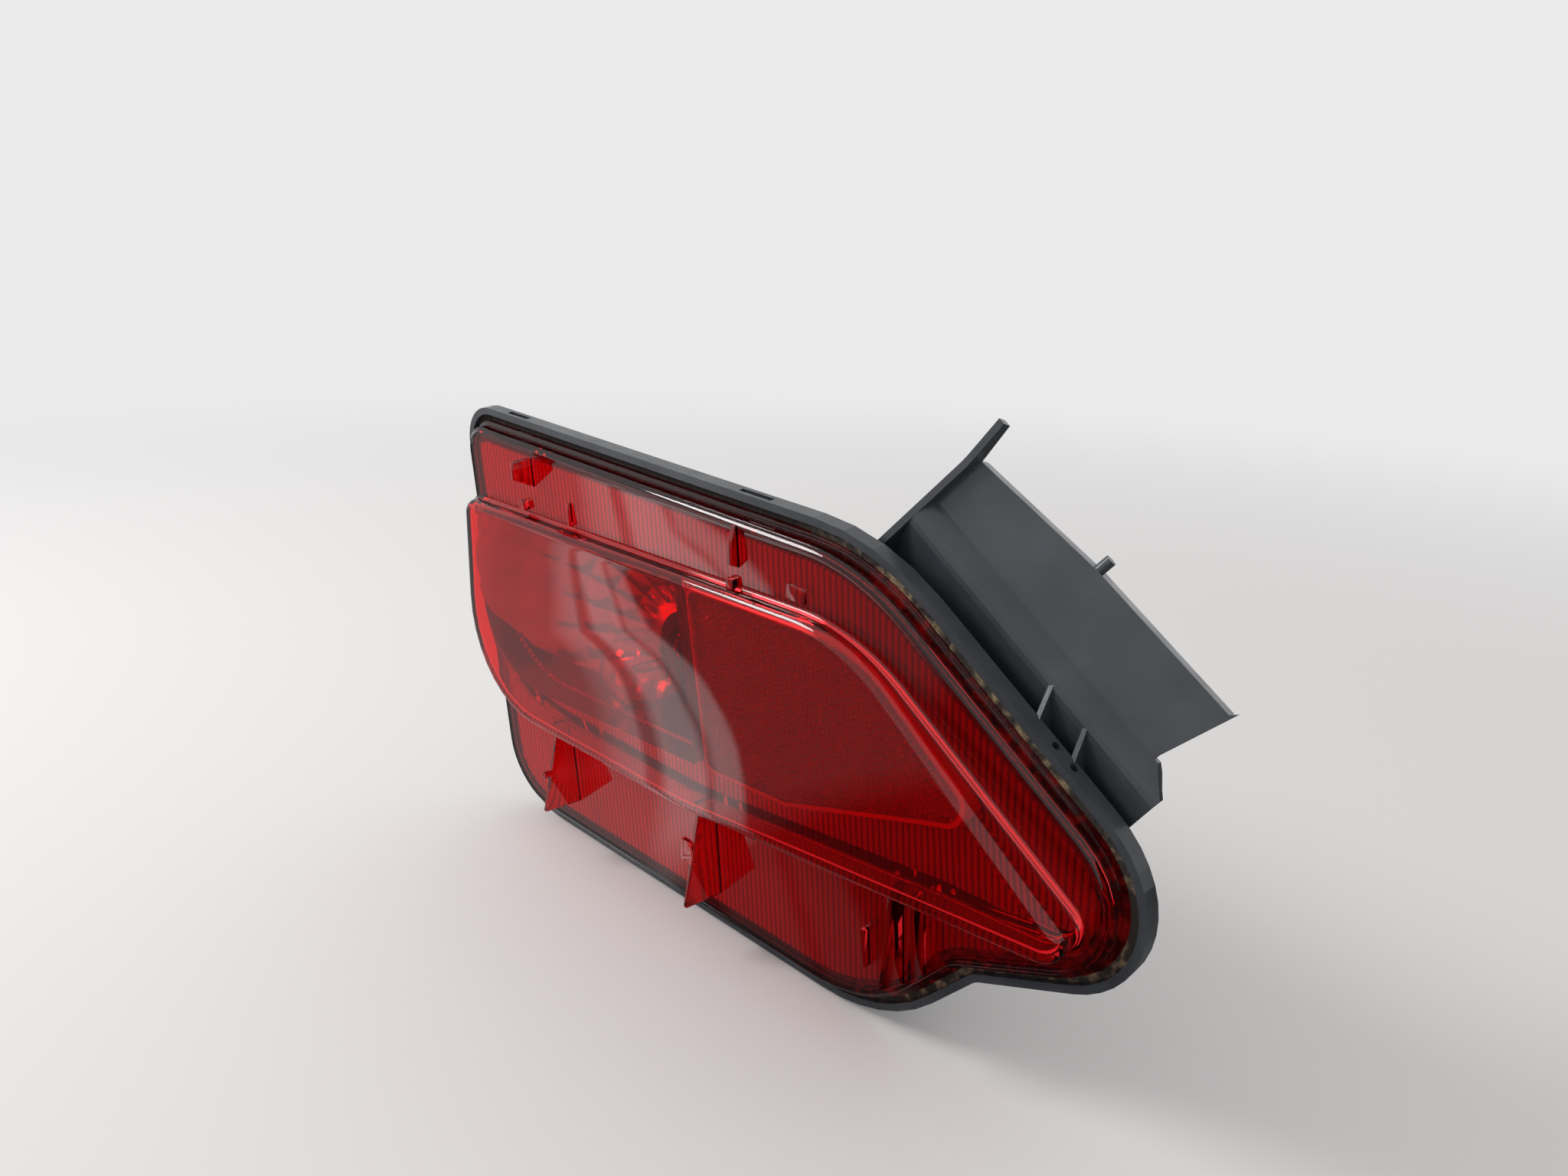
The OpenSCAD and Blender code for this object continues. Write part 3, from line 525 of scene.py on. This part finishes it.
# %% Lens flange, side wall and foot
EDGE = [
    (-3.4, 0), (-2.6, 0), (-2.3, -0.05), (-2.05, -0.22), (-1.75, -0.3), (-1.45, -0.22), (-1.2, 0.05),
    (-0.7, 0.45), (-0.3, 0.6), (-0.08, 0.75), (0, 1.0), (0, 3.6), (0.08, 3.88), (0.35, 4.0),
    (1.1, 4.0), (1.32, 4.1), (1.4, 4.3), (1.4, 5.4), (1.25, 5.6), (-2.2, 5.6), (-2.2, 2.5),
]
lens = object_from(solid([raked(at_depth(walk(grown(FLANGE, d)), y)) for d, y in EDGE]), "lens_pmma")
print("flange:", len(lens.data.polygons), "faces")

# %% [markdown]
# The window stands upright on the leaning flange, so its wall gets deeper towards the foot.
# Its front edge is rounded to 3 mm. Where the wall meets the flange, the mould has a hollow
# fillet, as big as the wall's height leaves room for. Both roundings bend the light into
# the bright bands that draw the window's outline. The space behind the window leaves a
# wall of 2.5 mm.

# %% Raised window
WIN_FRONT, FRONT_R, ROOT_R = -2.0, 3.0, 2.5


def flange_at(z, depth):
    """Depth along y of the plane that lies depth mm behind the flange's face."""
    return (depth - z * math.sin(RAKE)) / math.cos(RAKE)


def front_rounding(inset, front, radius):
    for k in range(7):
        a = math.pi / 2 * k / 6
        loop = walk(grown(WINDOW, inset - radius + radius * math.sin(a)))
        yield at_depth(loop, front + radius * (1 - math.cos(a)))


def window_blank():
    loops = list(front_rounding(0, WIN_FRONT, FRONT_R))
    wall_foot = walk(WINDOW)
    room = flange_at(wall_foot[:, 1], 0) - WIN_FRONT - FRONT_R - 0.1
    root = np.clip(room, 0.3, ROOT_R)
    away = walk(grown(WINDOW, 1)) - wall_foot
    for k in range(6):
        a = math.pi / 2 * k / 6
        flat = wall_foot + away * (root * (1 - math.cos(a)))[:, None]
        flat[:, 0] = np.maximum(flat[:, 0], -1)
        loops.append(at_depth(flat, flange_at(flat[:, 1], 0) - root * (1 - math.sin(a)) + 0.02))
    loops.append(at_depth(loops[-1][:, [0, 2]], flange_at(loops[-1][:, 2], 2.3)))
    return solid(loops)


def window_space():
    loops = list(front_rounding(-2.5, 0.5, 1.6))
    foot = walk(grown(WINDOW, -2.5))
    loops.append(at_depth(foot, flange_at(foot[:, 1], 9)))
    return solid(loops)


lens = combine(lens, object_from(window_blank(), "window"), "UNION")
lens = combine(lens, object_from(window_space(), "window_space"), "DIFFERENCE")
print("with the window:", len(lens.data.polygons), "faces")

# %% [markdown]
# Blades and stops stand on the strips and set the lens in the bumper's opening. Each is a
# thin plate across x, drawn as its outline in y and z, with its edges just broken.

# %% Blades and stops
def plate_across_x(x, thick, outline):
    bm = bmesh.new()
    sides = [[bm.verts.new(to_row([x + s * thick / 2, y, z])) for y, z in outline] for s in (-1, 1)]
    bm.faces.new(sides[0])
    bm.faces.new(sides[1][::-1])
    for k in range(len(outline)):
        bm.faces.new([sides[0][k - 1], sides[1][k - 1], sides[1][k], sides[0][k]])
    bmesh.ops.recalc_face_normals(bm, faces=bm.faces)
    bmesh.ops.bevel(bm, geom=bm.edges[:], offset=0.0002, segments=2, affect="EDGES", profile=0.5)
    return object_from(bm, "blade")


def on_flange(z):
    return (-z * math.tan(RAKE) + 1, z)


# for each: its middle in x, its thickness, and its outline in y and z
UNDER = WIN_FOOT + 1.2
BLADES = [
    (38, 1.5, [on_flange(-14), on_flange(-4), (-6.4, -5), (-6.4, -10.5)]),
    (134, 1.5, [on_flange(-18), on_flange(-6), (-0.2, -6), (-1.4, -10), (-1.4, -16.5)]),
    (43, 1.5, [on_flange(-126), on_flange(UNDER), (4.8, UNDER), (-0.96, -125.5)]),
    (117, 1.5, [on_flange(-128), on_flange(UNDER), (4.1, UNDER), (-0.75, -127.5)]),
    (190, 1.5, [on_flange(-121), on_flange(-90), (5, -92), (3.7, -118.4)]),
    (197, 1.5, [on_flange(-114), on_flange(-89), (5.1, -90.5), (6.2, -113.5)]),
    (178, 1.5, [on_flange(-121), on_flange(-109), (9.1, -109), (10.1, -121)]),
    (114.5, 5, [(1.6, -114), (1.6, -107), (3.2, -107), (3.2, -114)]),
    (43, 1.6, [(-1, -113), (-1, -111), (4, -111), (4, -113)]),
]
# small stops on the upper strip: left, foot, right, top, and how far each stands proud
STOPS = [
    (31, -22, 34, -19, 2), (57, -22.5, 58.2, -15, 1.6),
    (130.6, -24, 133.4, -21, 2), (152, -21.7, 159, -17.4, 0.6),
]
for x0, z0, x1, z1, proud in STOPS:
    face = -z0 * math.tan(RAKE)
    outline = [(face + 1, z0), (face + 1, z1), (face - proud, z1), (face - proud, z0)]
    BLADES.append(((x0 + x1) / 2, x1 - x0, outline))
for middle, thick, outline in BLADES:
    lens = combine(lens, plate_across_x(middle, thick, outline), "UNION")
takes_over(lens, "outer_lens", "lamp", lens_red)

# %% [markdown]
# The bowl is a paraboloid about the bulb, cut into pillow-shaped facets in rings, which
# spread the light and show as lobes and arcs through the lens. It is one sheet of quads
# between the bulb's hole and the chamber's outline, with its side walls run forward.

# %% Reflector
MIRROR = grown(CHAMBER, -3.3)
DEEPEST, SHALLOWEST, FOCAL_LENGTH = 38, 3.2, 30
HOLE_R, CAN_R = 15.0, 18
RING_WIDTH, SECTORS, PILLOW = 8.5, 12, 1.6


def bowl_depth(x, z):
    r, angle = np.hypot(x - BULB[0], z - BULB[1]), np.arctan2(z - BULB[1], x - BULB[0])
    bowl = np.maximum(SHALLOWEST, DEEPEST - (r**2 - CAN_R**2) / (4 * FOCAL_LENGTH))
    ring = np.abs(np.sin(np.pi * (r - 16) / RING_WIDTH))
    sector = np.abs(np.sin(angle * SECTORS))
    pillow = PILLOW * np.sqrt(ring * sector + 0.02)
    return bowl - pillow * np.clip((DEEPEST - bowl) / 2, 0, 1)


edge = walk(MIRROR, arc=24, side=60)
around = np.arctan2(edge[:, 1] - BULB[1], edge[:, 0] - BULB[0])
hole = BULB + HOLE_R * np.column_stack([np.cos(around), np.sin(around)])
STEPS, WALL_FRONT = 70, 3.0
loops = []
for k in range(STEPS + 1):
    flat = hole + (edge - hole) * k / STEPS
    loops.append(at_depth(flat, bowl_depth(flat[:, 0], flat[:, 1])))
rim_depth = loops[-1][:, 1]
for k in range(1, 7):
    loops.append(at_depth(edge, np.maximum(WALL_FRONT, rim_depth + (WALL_FRONT - rim_depth) * k / 6)))
bm = bmesh.new()
rings = [[bm.verts.new(to_row(p)) for p in loop] for loop in loops]
for a, b in zip(rings, rings[1:]):
    for k in range(len(a)):
        bm.faces.new([a[k - 1], b[k - 1], b[k], a[k]])
bowl = object_from(bm, "reflector_bowl")
takes_over(bowl, "reflector", "lamp", mirror, 40)

# %% [markdown]
# The bezel fills the strips behind the flange with upright flutes, 2 mm apart. Each flute
# runs straight up and down, so the sheet needs many columns and only one row: each column
# is cut where it crosses the outlines.

# %% Fluted bezel
FLUTE_DEPTH, GROOVE_Y, BEZEL_T = 0.5, 4.4, 1.2
OUTER = walk(grown(FLANGE, -5.1))
HOLES = [walk(grown(MIRROR, 0.5)), walk(grown(PANEL, 2.0))]


def crossings(points, x):
    a, b = points, np.roll(points, -1, axis=0)
    hit = (a[:, 0] <= x) != (b[:, 0] <= x)
    a, b = a[hit], b[hit]
    return list(a[:, 1] + (b[:, 1] - a[:, 1]) * (x - a[:, 0]) / (b[:, 0] - a[:, 0]))


def open_stretches(x):
    """The stretches of z at x that lie in the bezel and in none of its holes."""
    spans = sorted(crossings(OUTER, x))
    spans = list(zip(spans[::2], spans[1::2]))
    for hole_points in HOLES:
        cuts = sorted(crossings(hole_points, x))
        for low_cut, high_cut in zip(cuts[::2], cuts[1::2]):
            kept = []
            for a, b in spans:
                kept += [(a, min(b, low_cut)), (max(a, high_cut), b)]
            spans = [(a, b) for a, b in kept if b - a > 0.2]
    return spans


bm = bmesh.new()
columns = []
for x in np.arange(OUTER[:, 0].min() + 0.1, OUTER[:, 0].max() - 0.1, FLUTE / 8):
    y = GROOVE_Y - FLUTE_DEPTH * abs(math.sin(math.pi * (x - PIN_ROOT[0]) / FLUTE))
    column = []
    for z0, z1 in open_stretches(x):
        ends = raked([[x, y, z0], [x, y, z1]])
        column.append((z0, z1, [bm.verts.new(to_row(p)) for p in ends]))
    columns.append(column)
for first, second in zip(columns, columns[1:]):
    for a0, a1, a in first:
        for b0, b1, b in second:
            if min(a1, b1) - max(a0, b0) > 0.1:
                bm.faces.new([a[0], b[0], b[1], a[1]])
bezel = object_from(bm, "bezel_flutes")
thicken = bezel.modifiers.new("thicken", "SOLIDIFY")
thicken.thickness, thicken.offset = BEZEL_T / 1000, 1
bezel.data = bpy.data.meshes.new_from_object(bezel.evaluated_get(bpy.context.evaluated_depsgraph_get()))
bezel.modifiers.clear()
takes_over(bezel, "fluted_bezel", "lamp", bezel_red, 50)

# %% [markdown]
# A reflex panel sends light back where it came from. Its back is an array of cube corners:
# hexagons 1.8 mm apart, each made of three square faces that meet at a right angle. Points
# of a triangular grid at three levels give exactly that.

# %% Reflex panel
PITCH = 1.8
CELL = PITCH / math.sqrt(3)
LEVEL = CELL / math.sqrt(2)
PANEL_FRONT, PANEL_BACK, MARGIN = 3.0, 6.0, 6
shape = walk(PANEL)
low_x, low_z = shape.min(0) - MARGIN
high_x, high_z = shape.max(0) + MARGIN
bm = bmesh.new()
grid = {}


def prism_point(i, j):
    if (i, j) not in grid:
        x, z = low_x + CELL * (i + j / 2), low_z + CELL * j * math.sqrt(3) / 2
        grid[i, j] = bm.verts.new(to_row([x, PANEL_BACK - LEVEL * ((i - j) % 3), z]))
    return grid[i, j]


RING = [(1, 0), (0, 1), (-1, 1), (-1, 0), (0, -1), (1, -1)]
rows = int((high_z - low_z) / (CELL * math.sqrt(3) / 2))
span = int((high_x - low_x) / CELL)
for j in range(1, rows):
    for i in range(1 - j // 2, span - j // 2):
        if (i - j) % 3 == 0:
            ring = [prism_point(i + a, j + b) for a, b in RING]
            for k in (0, 2, 4):
                bm.faces.new([prism_point(i, j), ring[k], ring[k + 1], ring[(k + 2) % 6]])
rim = [e for e in bm.edges if e.is_boundary]
pulled = bmesh.ops.extrude_edge_only(bm, edges=rim)["geom"]
front_y = to_row([0, PANEL_FRONT, 0])[1]
for v in [g for g in pulled if isinstance(g, bmesh.types.BMVert)]:
    v.co.y = front_y
bmesh.ops.contextual_create(bm, geom=[e for e in bm.edges if e.is_boundary])
bmesh.ops.recalc_face_normals(bm, faces=bm.faces)
prisms = object_from(bm, "reflex_prisms")
blank = solid([at_depth(shape, y) for y in (PANEL_FRONT - 0.5, PANEL_BACK + 0.5)])
prisms = combine(prisms, object_from(blank, "panel_blank"), "INTERSECT")
takes_over(prisms, "reflex_panel", "lamp", reflex_red, 10)

# %% [markdown]
# The contact spring is pushed together when the bulb goes in, by as much as the plunger
# moves. A copy of its coil stands for it, at the coil's own length.

# %% Contact spring
coil = bpy.data.objects.new("spring_coil", nodes["contact_spring"].data.copy())
bpy.context.scene.collection.objects.link(coil)
takes_over(coil, "contact_spring", "holder", spring_steel)
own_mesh(coil)

# %% [markdown]
# The stage is a plain pale floor under the lamp. The world is a soft white that lights
# more from the left, and one large lamp from the front left gives direction and a soft
# shadow, as a window does. What is looked at, directly or through glass and gloss, is one
# pale tone. Far from the lamp the floor runs into that tone, so no horizon shows, and near
# the lamp it keeps the shadow.

# %% Floor and light
def looked_at(tree):
    """1 for a ray of the camera, or one that goes on through glass or off gloss, else 0."""
    ray = add(tree, "ShaderNodeLightPath").outputs
    sight = ray["Is Camera Ray"]
    for kind in ("Is Glossy Ray", "Is Transmission Ray"):
        sight = add(tree, "ShaderNodeMath", {"operation": "MAXIMUM"}, {0: sight, 1: ray[kind]}).outputs[0]
    return sight


floor_bm = bmesh.new()
bmesh.ops.create_grid(floor_bm, x_segments=1, y_segments=1, size=4)
floor = object_from(floor_bm, "floor")
floor.location = (0, 0, cad_box[0][2] - 0.0005)
floor_paint, tree, surface = material(
    "floor_paint", Base_Color=colour("#e9e6e4"), Roughness=1.0, Specular_IOR_Level=0.0
)
floor.data.materials.append(floor_paint)
SHOWN = colour("#ebebec")
NEAR, FAR = 0.3, 1.3
where = add(tree, "ShaderNodeTexCoord").outputs["Object"]
distance = add(tree, "ShaderNodeVectorMath", {"operation": "LENGTH"}, {0: where})
far_away = add(tree, "ShaderNodeMapRange", {"interpolation_type": "SMOOTHSTEP"}, {
    "Value": distance.outputs["Value"], "From Min": NEAR, "From Max": FAR,
})
share = add(tree, "ShaderNodeMath", {"operation": "MULTIPLY"}, {
    0: far_away.outputs["Result"], 1: looked_at(tree),
})
backdrop = add(tree, "ShaderNodeEmission", None, {"Color": SHOWN, "Strength": 1.0})
cover = add(tree, "ShaderNodeMixShader", None, {
    0: share.outputs[0], 1: surface.outputs["BSDF"], 2: backdrop.outputs["Emission"],
})
tree.links.new(cover.outputs["Shader"], tree.nodes["Material Output"].inputs["Surface"])
floor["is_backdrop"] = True

# %% World
world = bpy.data.worlds.new("studio")
bpy.context.scene.world = world
world.use_nodes = True
tree = world.node_tree
tree.nodes.clear()
BRIGHT_SIDE = (-0.9, -0.1, 0.3)
way = add(tree, "ShaderNodeTexCoord").outputs["Generated"]
leftness = add(tree, "ShaderNodeVectorMath", {"operation": "DOT_PRODUCT"}, {0: way, 1: BRIGHT_SIDE})
strength = add(tree, "ShaderNodeMapRange", None, {
    "Value": leftness.outputs["Value"], "From Min": -0.7, "From Max": 0.9, "To Min": 0.35, "To Max": 1.1,
})
daylight = add(tree, "ShaderNodeBackground", None, {
    "Color": colour("#f4f5f6"), "Strength": strength.outputs["Result"],
})
shown = add(tree, "ShaderNodeBackground", None, {"Color": SHOWN, "Strength": 1.0})
sky = add(tree, "ShaderNodeMixShader", None, {
    0: looked_at(tree), 1: daylight.outputs["Background"], 2: shown.outputs["Background"],
})
add(tree, "ShaderNodeOutputWorld", None, {"Surface": sky.outputs["Shader"]})
print("floor at", round(floor.location.z, 4), "world:", world.name)

# %% [markdown]
# A glossy lens shows what stands round it, so a studio lays cards in front of it: a bright
# one, whose edge draws a streak down the window, and a dark one beside it, which keeps the
# red deep. Here one sheet on the floor is both, and only reflections see it. Its edge lies
# slantwise across the floor and bulges a little, and beyond the edge it has bars.

# %% Reflection card
card_bm = bmesh.new()
bmesh.ops.create_grid(card_bm, x_segments=1, y_segments=1, size=0.9)
card = object_from(card_bm, "reflection_card")
card.location = to_row([-31, -137.5, 0])
card.location.z = floor.location.z + 0.001

# %% The card's edge and its bars
EDGE_TURN = math.radians(32.8)
ACROSS_EDGE = (-math.sin(EDGE_TURN), math.cos(EDGE_TURN), 0)
BULGE, CURVE, BULGE_END = 0.011, -1.4, -0.008
# millimetres past the card's edge, and how bright the card is there (1 is the brightest)
BARS = [
    (-4, 0.1), (0, 0.75), (11, 0.8), (15, 0.4), (19, 1.0), (35, 0.95),
    (40, 0.3), (44, 0.3), (47, 0.75), (56, 0.6), (66, 0.28), (99, 0.24),
]
BEFORE_EDGE, RAMP_LENGTH = 20, 120

card_glow, tree, surface = material("card_glow")
tree.nodes.remove(surface)
where = add(tree, "ShaderNodeTexCoord").outputs["Object"]
x = along_x(tree)
square = add(tree, "ShaderNodeMath", {"operation": "MULTIPLY"}, {0: x, 1: x})
curved = add(tree, "ShaderNodeMath", {"operation": "MULTIPLY_ADD"}, {
    0: square.outputs[0], 1: CURVE, 2: BULGE,
})
bulge = add(tree, "ShaderNodeMath", {"operation": "MAXIMUM"}, {0: curved.outputs[0], 1: BULGE_END})
straight = add(tree, "ShaderNodeVectorMath", {"operation": "DOT_PRODUCT"}, {0: where, 1: ACROSS_EDGE})
past_edge = add(tree, "ShaderNodeMath", {"operation": "ADD"}, {
    0: straight.outputs["Value"], 1: bulge.outputs[0],
})
share = add(tree, "ShaderNodeMapRange", None, {
    "Value": past_edge.outputs[0],
    "From Min": -BEFORE_EDGE / 1000,
    "From Max": (RAMP_LENGTH - BEFORE_EDGE) / 1000,
})
bars = add(tree, "ShaderNodeValToRGB", None, {"Fac": share.outputs["Result"]})
stops = bars.color_ramp.elements
for k, (mm, brightness) in enumerate(BARS):
    stop = stops[k] if k < 2 else stops.new(1.0)
    stop.position = (mm + BEFORE_EDGE) / RAMP_LENGTH
    stop.color = (brightness, brightness, brightness, 1)
near_end = add(tree, "ShaderNodeMapRange", None, {
    "Value": x, "From Min": 0.095, "From Max": 0.125, "To Min": 2.0, "To Max": 0.15,
})
glow = add(tree, "ShaderNodeMath", {"operation": "MULTIPLY"}, {
    0: bars.outputs["Color"], 1: near_end.outputs["Result"],
})
lit = add(tree, "ShaderNodeEmission", None, {"Strength": glow.outputs[0]})
tree.links.new(lit.outputs["Emission"], tree.nodes["Material Output"].inputs["Surface"])
card.data.materials.append(card_glow)
card.visible_camera = card.visible_diffuse = card.visible_transmission = card.visible_shadow = False
card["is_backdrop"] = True
print("card at", tuple(round(v, 3) for v in card.location))

# %% [markdown]
# The soft lamp is a disk that stands to the front left, wide enough that its shadows have
# no hard edge.

# %% Soft lamp
lamp_data = bpy.data.lights.new("window_light", "AREA")
lamp_data.shape, lamp_data.size, lamp_data.energy = "DISK", 0.42, 6.5
lamp = bpy.data.objects.new("window_light", lamp_data)
bpy.context.scene.collection.objects.link(lamp)
lamp.location = (-0.75, -0.7, 0.7)
lamp.rotation_euler = (Vector((-0.05, 0, 0)) - lamp.location).to_track_quat("-Z", "Y").to_euler()
lamp.visible_camera = False
bpy.context.scene.view_settings.view_transform = "Standard"
print("soft lamp:", lamp_data.energy, "W")

# %% The sizes of the CAD box and the scene, to finish
scene_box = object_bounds()
boxes = {"cad": cad_box, "visual": scene_box}
{kind: [list(map(float, corner)) for corner in box] for kind, box in boxes.items()}
